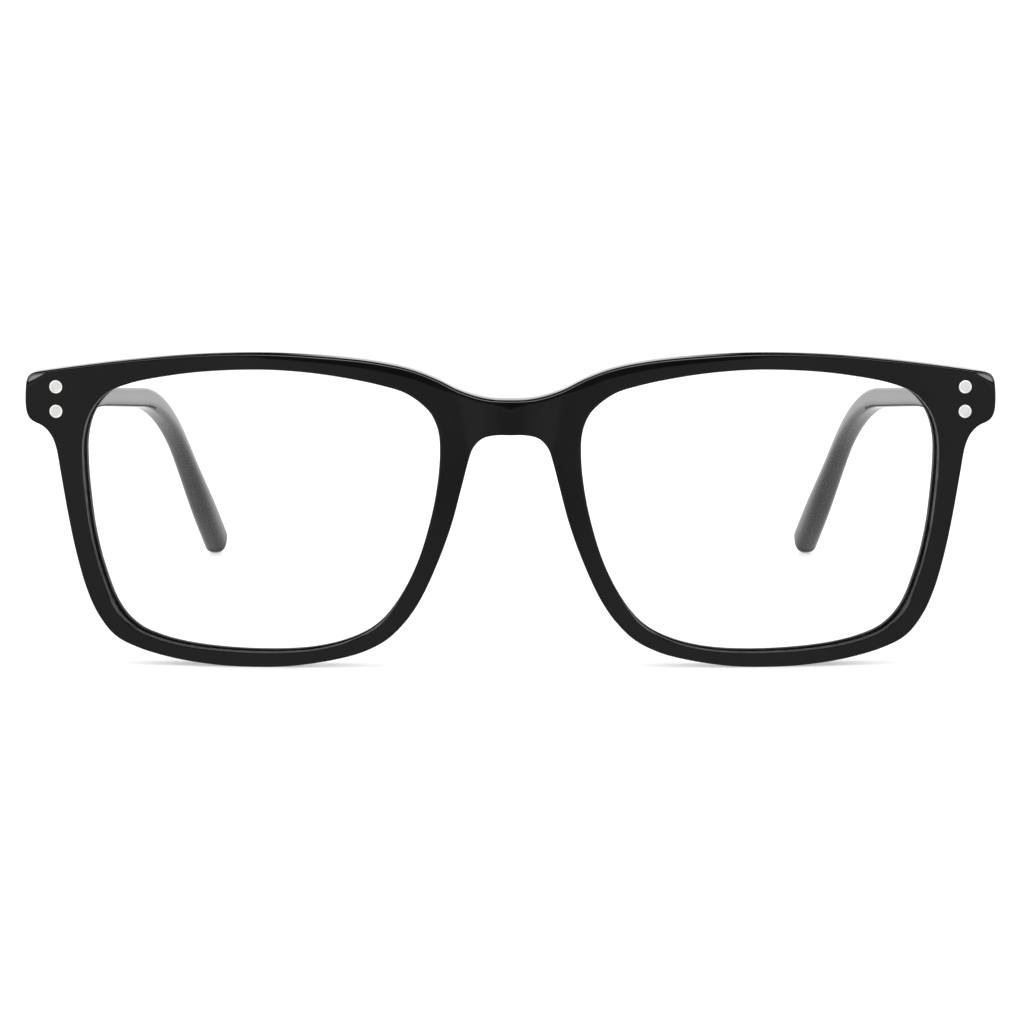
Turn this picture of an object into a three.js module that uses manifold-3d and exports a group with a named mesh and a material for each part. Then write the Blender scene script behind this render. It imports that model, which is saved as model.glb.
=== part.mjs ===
// An eyeglasses frame of black acetate, standing open on its rims and its temple tips.
// Millimetres. +Z is up, the front faces -Y, and the temples run back to +Y.
// The wearer's left is +X. Every piece of a pair is made for the left and mirrored for the right.
import * as THREE from 'three';
import { mergeVertices } from 'three/addons/utils/BufferGeometryUtils.js';
import Module from 'manifold-3d';

const wasm = await Module();
wasm.setup();

// ---- driving dimensions ----
const FRONT_THICKNESS = 4.8;
const WRAP_RADIUS = 450;          // the front is bent about a vertical axis this far behind it
const HALF_WIDTH = 72.1;
const TALLEST = 50;               // more than any part of the front is high
const REST_FLAT = [35.7, 39.7];   // the short flat under each rim, at Z = 0, which the frame stands on

const GLUE_GAP = 0.1;             // between pieces that are glued, sprung or pressed together
const CUT_MARGIN = 2;             // how far a cutter runs past what it cuts

const LENS_INSET = 1.4;           // from the front surface to the lens
const LENS_THICKNESS = 1.7;
const LENS_BITE = 0.6;            // how far the lens reaches into the rim's groove

const PAD_CENTRE = [8.6, 21.8];   // X, Z
const PAD_WIDTH = 2.7;
const PAD_HALF_HEIGHT = 9.5;
const PAD_DEPTH = 4.6;

const HINGE_X = 67.5;             // the rivets' column on the endpiece
const HINGE_Z = 39.7;
const PIN_IN = 0.3;               // the pin's axis, inward of the rivets' column
const PIN_BACK = 2.0;             // and behind the front's back face
const BARREL_RADIUS = 1.5;
const BARREL_HEIGHT = 1.1;
const BARREL_GAP = 0.06;
const BORE_RADIUS = 0.75;
const SCREW_RADIUS = 0.69;
const SCREW_HEAD_RADIUS = 1.3;
const SCREW_HEAD_HEIGHT = 0.6;
const SCREW_SLOT = [0.4, 0.3];    // width, depth
const SCREW_BELOW = 0.3;          // the screw's end, below the lowest barrel
const WEB_REACH = 1.2;            // how far a barrel's web runs beyond the pin's axis
const WEB_ROOT = 0.2;             // how deep the web sinks into its leaf
const LEAF_THICKNESS = 1.0;
const FRONT_LEAF = { x: [-3.2, 1.2], z: [-3.3, 3.3] };
const TEMPLE_LEAF = { y: [6.6, 16.4], z: [-3.1, 1.75] };
const LEAF_RIVET_SPAN = 3.66;     // between the two front rivets
const ARM_RIVET_SPAN = 3.0;       // between the two temple rivets
const ARM_RIVET_Y = 12;
const RIVET = { head: 0.97, headDepth: 0.5, shaft: 0.55 };

const ARM_X = [1.45, 4.95];       // the temple's faces at its front end, from the rivets' column
const ARM_GAP = 0.15;             // between the temple's end and the front's back face
const ARM_SQUARENESS = 4.5;       // of its section: 2 is an ellipse, and more is nearer to a rectangle
const SECTION_SIDES = 16;
const ARM_SLOPE = THREE.MathUtils.degToRad(6.1);
const TIP_SLOPE = THREE.MathUtils.degToRad(36);
const BEND_START = 66;            // along the temple, from its front end
const BEND_RADIUS = 67;
const ARM_STEP = 3.8;             // between the stations that the temple's outline passes through
const ARM_HALF_HEIGHTS = [[0, 3.7], [13, 3.4], [38, 1.55], [82, 1.65], [104, 1.7], [126, 2.4]];
const ARM_HALF_WIDTHS = [[0, 1.75], [16, 1.75], [42, 1.6], [96, 1.6], [122, 1.95]];
const TIP_RADIUS = 2.5;
const TIP_STEPS = 5;
const ARM_INWARD = { from: 60, rate: 0.0005 };   // the temple's rear half curves in towards the head
const CORE = { from: 0.5, to: 108, halfHeight: 0.6, thickness: 1, outward: 0.1 };

// ---- outlines of the front, X and Z, for X > 0 ----
const TOP_EDGE = [
  [3.7, 40.25], [7.5, 41.35], [11.1, 43.1], [14.9, 44.5], [20.7, 45.65], [28.7, 46.4],
  [36.7, 46.7], [46.6, 46.4], [56.6, 45.5], [64.5, 44.5], [69.8, 43.7],
];
const ENDPIECE = {
  upperCorner: [72, 43.4], upper: [HALF_WIDTH, 42], lower: [72.05, 38.4], lowerCorner: [71.85, 36.4],
};
const OUTER_EDGE = [
  [69.75, 35.8], [68.4, 34.5], [67.62, 32.7], [66.92, 28.8], [65.92, 22.9], [64.72, 17], [63.12, 11.3],
  [61.4, 7.5], [58.9, 4.4], [55.35, 2.6], [49.6, 1.05], [43.7, 0.22], [REST_FLAT[1], 0],
];
const NOSE_EDGE = [
  [REST_FLAT[0], 0], [31.75, 0.27], [25.85, 1.25], [21.95, 2.35], [18.4, 4.2], [15.55, 7], [13.3, 10.35],
  [10.78, 15.8], [8.73, 21.45], [7.18, 27.25], [6.18, 31.1], [5.55, 32.9], [4.2, 34.35], [2.3, 34.85],
];
const BRIDGE_TOP = 40;
const BRIDGE_UNDERSIDE = 34.87;
const LENS_OPENING = [
  [36.9, 44.4], [44.7, 44.1], [50.5, 43.4], [56.3, 42.2], [60, 40.6], [62.45, 37.6], [63.5, 33.9],
  [63.55, 29.9], [63.25, 25.9], [62.5, 20], [61.05, 14.1], [58.75, 8.5], [56, 5.6], [52.35, 4],
  [46.6, 2.8], [36.7, 2.2], [28.7, 2.75], [23, 4.4], [19.6, 6.5], [16.7, 10.05], [13.95, 15.45],
  [11.65, 23.05], [10.65, 29], [10.45, 33], [10.6, 35], [11.15, 36.85], [12.2, 38.55], [15.35, 40.95],
  [19.1, 42.15], [25, 43.35], [30.9, 44.1],
];
const OPENING_SAMPLES = 84;

// ---- materials ----
const finish = (color, roughness, metalness, extra = {}) =>
  new THREE.MeshStandardMaterial({ color, roughness, metalness, ...extra });
const acetate = () => finish(0x0b0b0b, 0.12, 0);
const clearPlastic = () => finish(0xf4f8fa, 0.05, 0, { transparent: true, opacity: 0.2 });
const nickelSilver = () => finish(0xd9d9d6, 0.3, 1);
const steel = () => finish(0xa9abae, 0.35, 1);

// ---- solids: join and cut ----
function solid(geometry) {
  const bare = geometry.clone();
  bare.deleteAttribute('normal');
  bare.deleteAttribute('uv');
  const merged = mergeVertices(bare, 1e-4);
  return new wasm.Manifold(new wasm.Mesh({
    numProp: 3,
    vertProperties: new Float32Array(merged.attributes.position.array),
    triVerts: new Uint32Array(merged.index.array),
  }));
}

function geometryOf(body) {
  const mesh = body.getMesh();
  const geometry = new THREE.BufferGeometry();
  geometry.setAttribute('position', new THREE.BufferAttribute(mesh.vertProperties, 3));
  geometry.setIndex(new THREE.BufferAttribute(mesh.triVerts, 1));
  geometry.computeVertexNormals();
  return geometry;
}

function cut(body, ...cutters) {
  return cutters.reduce((rest, cutter) => rest.subtract(solid(cutter)), body);
}

function join(...geometries) {
  return geometries.map(solid).reduce((whole, piece) => whole.add(piece));
}

function mirrored(geometry) {
  const copy = (geometry.index ? geometry : mergeVertices(geometry)).clone().scale(-1, 1, 1);
  const index = copy.index.array;
  for (let i = 0; i < index.length; i += 3) [index[i], index[i + 1]] = [index[i + 1], index[i]];
  copy.computeVertexNormals();
  return copy;
}

// ---- shapes ----
const points = (pairs) => pairs.map(([a, b]) => new THREE.Vector2(a, b));
const flipped = (pairs) => pairs.map(([x, z]) => [-x, z]).reverse();

function box(x, y, z) {
  const geometry = new THREE.BoxGeometry(x[1] - x[0], y[1] - y[0], z[1] - z[0]);
  return geometry.translate((x[0] + x[1]) / 2, (y[0] + y[1]) / 2, (z[0] + z[1]) / 2);
}

// A cylinder of the given length that stands along Z from z.
function post(radius, length, z, sides = 20) {
  const geometry = new THREE.CylinderGeometry(radius, radius, length, sides);
  return geometry.rotateX(Math.PI / 2).translate(0, 0, z + length / 2);
}

// An outline in X and Z, extruded straight back from y[0] to y[1].
function plate(shape, y, curveSegments) {
  const depth = y[1] - y[0];
  const geometry = new THREE.ExtrudeGeometry(shape, { depth, bevelEnabled: false, curveSegments });
  return geometry.rotateX(Math.PI / 2).translate(0, y[1], 0);
}

function offsetLoop(loop, distance) {
  return loop.map((point, i) => {
    const before = loop[(i + loop.length - 1) % loop.length];
    const after = loop[(i + 1) % loop.length];
    const along = after.clone().sub(before).normalize();
    return new THREE.Vector2(point.x - along.y * distance, point.y + along.x * distance);
  });
}

// ---- the front's curved plate ----
const sag = (x, radius = WRAP_RADIUS) => WRAP_RADIUS - Math.sqrt(radius * radius - x * x);

// The curved layer between two depths behind the front surface, over the whole width and height.
function layer(near, far) {
  const reach = HALF_WIDTH + CUT_MARGIN;
  const steps = 24;
  const arc = (depth) => Array.from({ length: steps + 1 }, (_, i) => {
    const x = reach * (2 * i / steps - 1);
    return new THREE.Vector2(x, sag(x, WRAP_RADIUS - depth));
  });
  const shape = new THREE.Shape([...arc(near), ...arc(far).reverse()]);
  const depth = TALLEST + 2 * CUT_MARGIN;
  return new THREE.ExtrudeGeometry(shape, { depth, bevelEnabled: false }).translate(0, 0, -CUT_MARGIN);
}

function frontShape() {
  const shape = new THREE.Shape();
  const [endX, endZ] = TOP_EDGE[TOP_EDGE.length - 1];
  const [lowX, lowZ] = OUTER_EDGE[0];
  const { upperCorner, upper, lower, lowerCorner } = ENDPIECE;
  shape.moveTo(-endX, endZ);
  shape.splineThru(points([...flipped(TOP_EDGE).slice(1), [0, BRIDGE_TOP], ...TOP_EDGE]));
  shape.quadraticCurveTo(...upperCorner, ...upper);
  shape.lineTo(...lower);
  shape.quadraticCurveTo(...lowerCorner, lowX, lowZ);
  shape.splineThru(points(OUTER_EDGE.slice(1)));
  shape.lineTo(...NOSE_EDGE[0]);
  shape.splineThru(points([...NOSE_EDGE.slice(1), [0, BRIDGE_UNDERSIDE], ...flipped(NOSE_EDGE)]));
  shape.lineTo(-REST_FLAT[1], 0);
  shape.splineThru(points(flipped(OUTER_EDGE).slice(1)));
  shape.quadraticCurveTo(-lowerCorner[0], lowerCorner[1], -lower[0], lower[1]);
  shape.lineTo(-upper[0], upper[1]);
  shape.quadraticCurveTo(-upperCorner[0], upperCorner[1], -endX, endZ);
  return shape;
}

const openingLoop = new THREE.CatmullRomCurve3(
  LENS_OPENING.map(([x, z]) => new THREE.Vector3(x, z, 0)), true,
).getPoints(OPENING_SAMPLES).slice(0, -1).map(({ x, y }) => new THREE.Vector2(x, y));

const wholeDepth = [-CUT_MARGIN, sag(HALF_WIDTH) + FRONT_THICKNESS + CUT_MARGIN];

// The opening's outline, grown by some distance. Its walls lean with the bend, square to the front surface.
function openingPlate(grow = 0) {
  const outline = plate(new THREE.Shape(offsetLoop(openingLoop, grow)), wholeDepth);
  const place = outline.attributes.position;
  for (let i = 0; i < place.count; i += 1) {
    const x = place.getX(i);
    place.setX(i, x * (1 - (place.getY(i) - sag(x)) / WRAP_RADIUS));
  }
  return outline;
}

// A slice of the lens' outline between two depths behind the front surface.
function lensSlice(grow, near, far) {
  const outline = openingPlate(grow);
  return solid(outline).intersect(solid(layer(near, far)));
}

function lens() {
  return lensSlice(LENS_BITE, LENS_INSET, LENS_INSET + LENS_THICKNESS);
}

function lensGroove() {
  return lensSlice(LENS_BITE + GLUE_GAP, LENS_INSET - GLUE_GAP, LENS_INSET + LENS_THICKNESS + GLUE_GAP);
}

function nosePad() {
  const [x, z] = PAD_CENTRE;
  const top = z + PAD_HALF_HEIGHT;
  const bottom = z - PAD_HALF_HEIGHT;
  const edge = new THREE.SplineCurve(points(NOSE_EDGE)).getPoints(60)
    .filter((point) => point.y > bottom && point.y < top);
  const inset = offsetLoop(edge, -GLUE_GAP).slice(1, -1);
  const back = offsetLoop(edge, -PAD_WIDTH).slice(1, -1).reverse();
  const start = FRONT_THICKNESS + GLUE_GAP;
  const strip = solid(plate(new THREE.Shape([...inset, ...back]), wholeDepth.map((y) => y + PAD_DEPTH)));
  const dome = new THREE.SphereGeometry(1, 24, 16).scale(3 * PAD_WIDTH, PAD_DEPTH, PAD_HALF_HEIGHT)
    .translate(x, start, z);
  return strip.intersect(solid(dome)).intersect(solid(layer(start, start + PAD_DEPTH)));
}

// ---- the hinge, in the endpiece's own frame: X outward, Y back from the front surface ----
const PIN_X = -PIN_IN;
const PIN_Y = FRONT_THICKNESS + PIN_BACK;
const WRAP_ANGLE = Math.asin(HINGE_X / WRAP_RADIUS);
const BARREL_COUNT = 5;
const barrelFloor = (i) => HINGE_Z + (i - BARREL_COUNT / 2) * BARREL_HEIGHT + BARREL_GAP / 2;
const frontRivetHeights = { upper: HINGE_Z + LEAF_RIVET_SPAN / 2, lower: HINGE_Z - LEAF_RIVET_SPAN / 2 };

function grown(range, by) {
  return [range[0] - by, range[1] + by];
}

function barrel(i) {
  return post(BARREL_RADIUS, BARREL_HEIGHT - BARREL_GAP, barrelFloor(i)).translate(PIN_X, PIN_Y, 0);
}

function pinBore() {
  return post(BORE_RADIUS, 20, HINGE_Z - 10).translate(PIN_X, PIN_Y, 0);
}

const frontLeafZ = FRONT_LEAF.z.map((z) => HINGE_Z + z);
const frontLeafY = [FRONT_THICKNESS - LEAF_THICKNESS, FRONT_THICKNESS];

// A rivet's hole or the rivet itself, along -Y: the head at y = 0 and the shaft behind it.
function rivet(length, clearance = 0, over = 0) {
  const head = RIVET.head + clearance;
  const shaft = RIVET.shaft + clearance;
  const profile = points([[0, -over], [head, -over], [head, RIVET.headDepth + clearance],
    [shaft, RIVET.headDepth + clearance], [shaft, length + over], [0, length + over]]);
  return new THREE.LatheGeometry(profile, 16);
}

function frontLeaf() {
  const pieces = [box(FRONT_LEAF.x, frontLeafY, frontLeafZ)];
  for (let i = 0; i < BARREL_COUNT; i += 2) {
    const z = [barrelFloor(i), barrelFloor(i) + BARREL_HEIGHT - BARREL_GAP];
    const web = box([PIN_X - BARREL_RADIUS, PIN_X + WEB_REACH], [FRONT_THICKNESS - WEB_ROOT, PIN_Y], z);
    pieces.push(barrel(i), web);
  }
  const holes = Object.values(frontRivetHeights).map((z) =>
    rivet(FRONT_THICKNESS - GLUE_GAP, GLUE_GAP / 2, 0).translate(0, 0, z));
  return cut(join(...pieces), pinBore(), ...holes);
}

function frontRivet(z) {
  return rivet(FRONT_THICKNESS - 1.5 * GLUE_GAP).translate(0, 0, z);
}

function screw() {
  const bottom = barrelFloor(0) - SCREW_BELOW;
  const top = barrelFloor(BARREL_COUNT - 1) + BARREL_HEIGHT;
  const body = join(post(SCREW_RADIUS, top - bottom + SCREW_HEAD_HEIGHT / 2, bottom),
    post(SCREW_HEAD_RADIUS, SCREW_HEAD_HEIGHT, top));
  const headTop = top + SCREW_HEAD_HEIGHT;
  const slot = box([-2, 2], [-SCREW_SLOT[0] / 2, SCREW_SLOT[0] / 2], [headTop - SCREW_SLOT[1], headTop + 1]);
  return cut(body, slot).translate(PIN_X, PIN_Y, 0);
}

// ---- the temple, in the same frame ----
const ARM_START = [FRONT_THICKNESS + ARM_GAP, HINGE_Z - 0.1];
const armMiddle = (ARM_X[0] + ARM_X[1]) / 2;
const BEND_ANGLE = TIP_SLOPE - ARM_SLOPE;
const BEND_END = BEND_START + BEND_RADIUS * BEND_ANGLE;

// The temple's centre line, at a distance s from its front end: a straight, a bend and a straight.
function armCentre(s) {
  const inBend = THREE.MathUtils.clamp((s - BEND_START) / BEND_RADIUS, 0, BEND_ANGLE);
  const slope = ARM_SLOPE + inBend;
  const straight = Math.min(s, BEND_START);
  const tail = Math.max(s - BEND_END, 0);
  const y = ARM_START[0] + straight * Math.cos(ARM_SLOPE)
    + BEND_RADIUS * (Math.sin(slope) - Math.sin(ARM_SLOPE)) + tail * Math.cos(TIP_SLOPE);
  const z = ARM_START[1] - straight * Math.sin(ARM_SLOPE)
    - BEND_RADIUS * (Math.cos(ARM_SLOPE) - Math.cos(slope)) - tail * Math.sin(TIP_SLOPE);
  return { y, z, slope };
}

const ARM_LENGTH = BEND_END + (armCentre(BEND_END).z - TIP_RADIUS) / Math.sin(TIP_SLOPE);

// A value that passes smoothly through the stations of a table of [place, value].
function eased(table, at) {
  const found = table.findIndex(([place]) => place >= at);
  const next = found < 0 ? table.length - 1 : Math.max(found, 1);
  const [[from, low], [to, high]] = table.slice(next - 1, next + 1);
  return THREE.MathUtils.lerp(low, high, THREE.MathUtils.smoothstep(at, from, to));
}

const armHalfHeight = (s) => eased(ARM_HALF_HEIGHTS, s);
const armHalfWidth = (s) => eased(ARM_HALF_WIDTHS, s);
const armInward = (y) => ARM_INWARD.rate / 2 * Math.max(y - ARM_INWARD.from, 0) ** 2;

// A section of half width and half height 1, swept along the temple's centre line.
// Each station is [distance along the line, half width, half height, offset outward].
function sweep(section, stations) {
  const steps = stations.length - 1;
  const bar = new THREE.ExtrudeGeometry(section, { depth: 1, steps, bevelEnabled: false });
  const place = bar.attributes.position;
  for (let i = 0; i < place.count; i += 1) {
    const [s, halfWidth, halfHeight, outward] = stations[Math.round(place.getZ(i) * steps)];
    const { y, z, slope } = armCentre(s);
    const tilt = s > 0 ? slope : 0;           // the front end is cut upright, to meet the front squarely
    const up = place.getY(i) * halfHeight;
    place.setXYZ(i, armMiddle + outward - armInward(y) - place.getX(i) * halfWidth,
      y + up * Math.sin(tilt), z + up * Math.cos(tilt));
  }
  return bar;
}

function stationsBetween(from, to) {
  const between = [from];
  for (let s = ARM_STEP; s < to - ARM_STEP / 4; s += ARM_STEP) between.push(s);
  return [...between, to];
}

function roundedSection() {
  const corner = (value) => Math.sign(value) * Math.abs(value) ** (2 / ARM_SQUARENESS);
  return new THREE.Shape(Array.from({ length: SECTION_SIDES }, (_, i) => {
    const angle = 2 * Math.PI * (i + 0.5) / SECTION_SIDES;
    return new THREE.Vector2(corner(Math.cos(angle)), corner(Math.sin(angle)));
  }));
}

const squareSection = () => new THREE.Shape(points([[-1, -1], [1, -1], [1, 1], [-1, 1]]));

const armRivetZ = armCentre(ARM_RIVET_Y - ARM_START[0]).z;
const armRivetHeights = { upper: armRivetZ + ARM_RIVET_SPAN / 2, lower: armRivetZ - ARM_RIVET_SPAN / 2 };
const templeLeafX = [ARM_X[0], ARM_X[0] + LEAF_THICKNESS];
const templeLeafZ = TEMPLE_LEAF.z.map((z) => HINGE_Z + z);
const armRivetLength = ARM_X[1] - ARM_X[0] - GLUE_GAP;

// The temple's rivets point outward: the head is in the outer face.
function sideRivet(z, clearance = 0, over = 0) {
  return rivet(armRivetLength, clearance, over).rotateZ(Math.PI / 2).translate(ARM_X[1], ARM_RIVET_Y, z);
}

function coreWire(clearance = 0, from = CORE.from) {
  const stations = stationsBetween(from, CORE.to + clearance).map((s) =>
    [s, CORE.thickness / 2 + clearance, CORE.halfHeight + clearance, CORE.outward]);
  return sweep(squareSection(), stations);
}

function temple() {
  const stations = stationsBetween(0, ARM_LENGTH).map((s) => [s, armHalfWidth(s), armHalfHeight(s), 0]);
  for (let i = 1; i <= TIP_STEPS; i += 1) {
    const angle = Math.PI / 2 * i / (TIP_STEPS + 0.4);
    stations.push([ARM_LENGTH + TIP_RADIUS * Math.sin(angle),
      armHalfWidth(ARM_LENGTH) * Math.cos(angle), TIP_RADIUS * Math.cos(angle), 0]);
  }
  const body = solid(sweep(roundedSection(), stations));
  const pocket = box([ARM_X[0] - CUT_MARGIN, templeLeafX[1] + GLUE_GAP],
    grown(TEMPLE_LEAF.y, GLUE_GAP), grown(templeLeafZ, GLUE_GAP));
  const holes = Object.values(armRivetHeights).map((z) => sideRivet(z, GLUE_GAP / 2, 1));
  return cut(body, pocket, coreWire(GLUE_GAP, -CUT_MARGIN), ...holes);
}

function templeLeaf() {
  const pieces = [box(templeLeafX, TEMPLE_LEAF.y, templeLeafZ)];
  for (let i = 1; i < BARREL_COUNT; i += 2) {
    const z = [barrelFloor(i), barrelFloor(i) + BARREL_HEIGHT - BARREL_GAP];
    const webY = [TEMPLE_LEAF.y[0] + GLUE_GAP, PIN_Y + WEB_REACH];
    pieces.push(barrel(i), box([PIN_X, templeLeafX[1] - WEB_ROOT], webY, z));
  }
  const holes = Object.values(armRivetHeights).map((z) => sideRivet(z, GLUE_GAP / 2, 1));
  return cut(join(...pieces), pinBore(), ...holes);
}

// ---- assembly ----
const SIDES = { left: 1, right: -1 };
const frame = new THREE.Group();

function mesh(name, geometry, material) {
  const piece = new THREE.Mesh(geometry, material);
  piece.name = name;
  return piece;
}

// The endpiece's frame on one side, square to the curved front at the rivets' column.
function endpieceFrame(sign) {
  const group = new THREE.Group();
  group.position.set(sign * HINGE_X, sag(HINGE_X), 0);
  group.rotation.z = sign * WRAP_ANGLE;
  group.updateMatrix();
  return group;
}

function oneSided(body, sign) {
  const geometry = geometryOf(body);
  return sign > 0 ? geometry : mirrored(geometry);
}

function front() {
  let body = solid(plate(frontShape(), wholeDepth, 3)).intersect(solid(layer(0, FRONT_THICKNESS)));
  const opening = openingPlate();
  const pocket = box(grown(FRONT_LEAF.x, GLUE_GAP), [frontLeafY[0] - GLUE_GAP, FRONT_THICKNESS + CUT_MARGIN],
    grown(frontLeafZ, GLUE_GAP));
  const holes = Object.values(frontRivetHeights).map((z) =>
    rivet(FRONT_THICKNESS, GLUE_GAP / 2, 1).translate(0, 0, z));
  for (const sign of Object.values(SIDES)) {
    const { matrix } = endpieceFrame(sign);
    const cutters = [opening, geometryOf(lensGroove())];
    const hinged = [pocket, ...holes].map((cutter) => {
      const local = sign > 0 ? cutter.clone() : mirrored(cutter);
      return local.applyMatrix4(matrix);
    });
    body = cut(body, ...cutters.map((cutter) => (sign > 0 ? cutter : mirrored(cutter))), ...hinged);
  }
  return body;
}

frame.add(mesh('front', geometryOf(front()), acetate()));

for (const [side, sign] of Object.entries(SIDES)) {
  const add = (group, name, body, material) =>
    group.add(mesh(`${name}_${side}`, oneSided(body, sign), material));
  add(frame, 'lens', lens(), clearPlastic());
  add(frame, 'nose_pad', nosePad(), acetate());

  const endpiece = endpieceFrame(sign);
  frame.add(endpiece);
  add(endpiece, 'front_hinge_leaf', frontLeaf(), nickelSilver());
  add(endpiece, 'temple_hinge_leaf', templeLeaf(), nickelSilver());
  add(endpiece, 'hinge_screw', screw(), steel());
  for (const level of ['upper', 'lower']) {
    add(endpiece, `front_rivet_${level}`, solid(frontRivet(frontRivetHeights[level])), nickelSilver());
    add(endpiece, `temple_rivet_${level}`, solid(sideRivet(armRivetHeights[level])), nickelSilver());
  }
  add(endpiece, 'temple', temple(), acetate());
  add(endpiece, 'core_wire', solid(coreWire()), steel());
}

// The origin is on the standing surface, under the middle of the frame's length.
frame.updateMatrixWorld(true);
const extent = new THREE.Box3().setFromObject(frame, true);
frame.position.y = -(extent.min.y + extent.max.y) / 2;

export default frame;
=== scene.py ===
import math

import bmesh
import bpy
import numpy as np
from mathutils import Matrix, Vector


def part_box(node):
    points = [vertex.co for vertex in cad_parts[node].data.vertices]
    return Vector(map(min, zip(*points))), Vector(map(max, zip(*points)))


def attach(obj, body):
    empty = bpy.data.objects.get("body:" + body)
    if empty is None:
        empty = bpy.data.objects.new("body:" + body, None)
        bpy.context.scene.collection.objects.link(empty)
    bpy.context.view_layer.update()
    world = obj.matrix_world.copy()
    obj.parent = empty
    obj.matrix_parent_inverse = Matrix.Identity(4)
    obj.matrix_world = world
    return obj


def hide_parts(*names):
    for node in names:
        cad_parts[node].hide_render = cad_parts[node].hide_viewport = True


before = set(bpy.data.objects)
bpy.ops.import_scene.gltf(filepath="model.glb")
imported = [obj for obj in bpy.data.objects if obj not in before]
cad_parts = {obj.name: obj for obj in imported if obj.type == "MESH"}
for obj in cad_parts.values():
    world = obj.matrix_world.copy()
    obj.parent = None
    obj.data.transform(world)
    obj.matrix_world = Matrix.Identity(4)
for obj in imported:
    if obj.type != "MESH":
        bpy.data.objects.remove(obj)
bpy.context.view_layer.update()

# The looks of a black acetate eyeglasses frame. Shapes are worked out in millimetres in the part's own frame:
# the front faces -Y, the temples run to +Y, the wearer's left is +X. MM turns them into Blender's metres.
MM = 0.001

# ---- dimensions, the same as the part's ----
FRONT_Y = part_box("front")[0][1] / MM      # the foremost point of the front, at the bridge
FRONT_THICKNESS = 4.8
WRAP_RADIUS = 450.0
LENS_INSET = 1.4
LENS_THICKNESS = 1.7
LENS_BITE = 0.6
HINGE_X = 67.5
HINGE_Z = 39.7
PIN_X = -0.3
PIN_Y = FRONT_THICKNESS + 2.0
BARREL_RADIUS = 1.5
BARREL_HEIGHT = 1.1
BARREL_GAP = 0.06
BARREL_COUNT = 5
BORE_RADIUS = 0.75
SCREW_RADIUS = 0.69
LEAF_THICKNESS = 1.0
FRONT_RIVET_SPAN = 3.66
TEMPLE_RIVET_SPAN = 3.0
TEMPLE_RIVET_Y = 12.0
RIVET_RADIUS = 0.97
ARM_X = (1.45, 4.95)
ARM_START = (FRONT_THICKNESS + 0.15, HINGE_Z - 0.1)
ARM_SLOPE = math.radians(6.1)
TIP_SLOPE = math.radians(36)
BEND_START = 66.0
BEND_RADIUS = 67.0
TIP_RADIUS = 2.5
ARM_HALF_HEIGHTS = [(0, 3.7), (13, 3.4), (38, 1.55), (82, 1.65), (104, 1.7), (126, 2.4)]
ARM_HALF_WIDTHS = [(0, 1.75), (16, 1.75), (42, 1.6), (96, 1.6), (122, 1.95)]
ARM_INWARD_FROM = 60.0
ARM_INWARD_RATE = 0.0005

# ---- outlines of the front's left half, X and Z ----
TOP_EDGE = [
    (3.7, 40.25), (7.5, 41.35), (11.1, 43.1), (14.9, 44.5), (20.7, 45.65), (28.7, 46.4),
    (36.7, 46.7), (46.6, 46.4), (56.6, 45.5), (64.5, 44.5), (69.8, 43.7),
]
ENDPIECE = [
    (71.0, 43.48), (71.5, 43.3), (71.8, 42.85), (72.0, 41.9), (72.1, 40.7), (72.1, 38.8), (71.9, 37.5),
    (71.45, 36.65), (70.7, 36.15),
]
OUTER_EDGE = [
    (69.75, 35.8), (68.4, 34.5), (67.62, 32.7), (66.92, 28.8), (65.92, 22.9), (64.72, 17), (63.12, 11.3),
    (61.4, 7.5), (58.9, 4.4), (55.35, 2.6), (49.6, 1.05), (43.7, 0.22), (39.7, 0), (35.7, 0),
]
NOSE_EDGE = [
    (31.75, 0.27), (25.85, 1.25), (21.95, 2.35), (18.4, 4.2), (15.55, 7), (13.3, 10.35),
    (10.78, 15.8), (8.73, 21.45), (7.18, 27.25), (6.18, 31.1), (5.55, 32.9), (4.2, 34.35), (2.3, 34.85),
]
BRIDGE_TOP = 40.0
BRIDGE_UNDERSIDE = 34.87
LENS_OPENING = [
    (36.9, 44.4), (44.7, 44.1), (50.5, 43.4), (56.3, 42.2), (60, 40.6), (62.45, 37.6), (63.5, 33.9),
    (63.55, 29.9), (63.25, 25.9), (62.5, 20), (61.05, 14.1), (58.75, 8.5), (56, 5.6), (52.35, 4),
    (46.6, 2.8), (36.7, 2.2), (28.7, 2.75), (23, 4.4), (19.6, 6.5), (16.7, 10.05), (13.95, 15.45),
    (11.65, 23.05), (10.65, 29), (10.45, 33), (10.6, 35), (11.15, 36.85), (12.2, 38.55), (15.35, 40.95),
    (19.1, 42.15), (25, 43.35), (30.9, 44.1),
]

# ---- the front's finer shape ----
EDGE_RADIUS = 0.28            # the tumbled edges of the front
TOP_RADII = [(0, 0.75), (28, 0.75), (42, 0.35), (72, 0.3)]   # the top front edge, by X
OUTLINE_STEP = 0.4            # spacing of the mesh along the outline
OUTLINE_BLUR = 0.4            # smooths the outline along its length
CREASE = ((7.6, 41.0), (6.1, 33.0))   # the valley between rim and bridge, from its top to the nose edge
BRIDGE_BULGE = 0.6            # how far the bridge stands forward of the rims' curve
CREASE_SOFTNESS = 0.05
BEVEL_ANGLE = math.radians(27)
BEVEL_WIDTHS = [(0, 1.35), (3.5, 0.35), (7.4, 0.3), (8.3, 0.75), (10.5, 1.25), (16, 1.25), (24, 1.0), (31, 0.8),
                (38.5, 0.55), (46, 0.35), (60, 0.3)]
FACET_EDGE = ((71.4, 42.15), (68.4, 43.85))   # the small milled facet on the endpiece's upper corner lies beyond
FACET_SLOPE = 0.45


def smoothstep(at, low, high):
    t = np.clip((at - low) / (high - low), 0.0, 1.0)
    return t * t * (3 - 2 * t)


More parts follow.
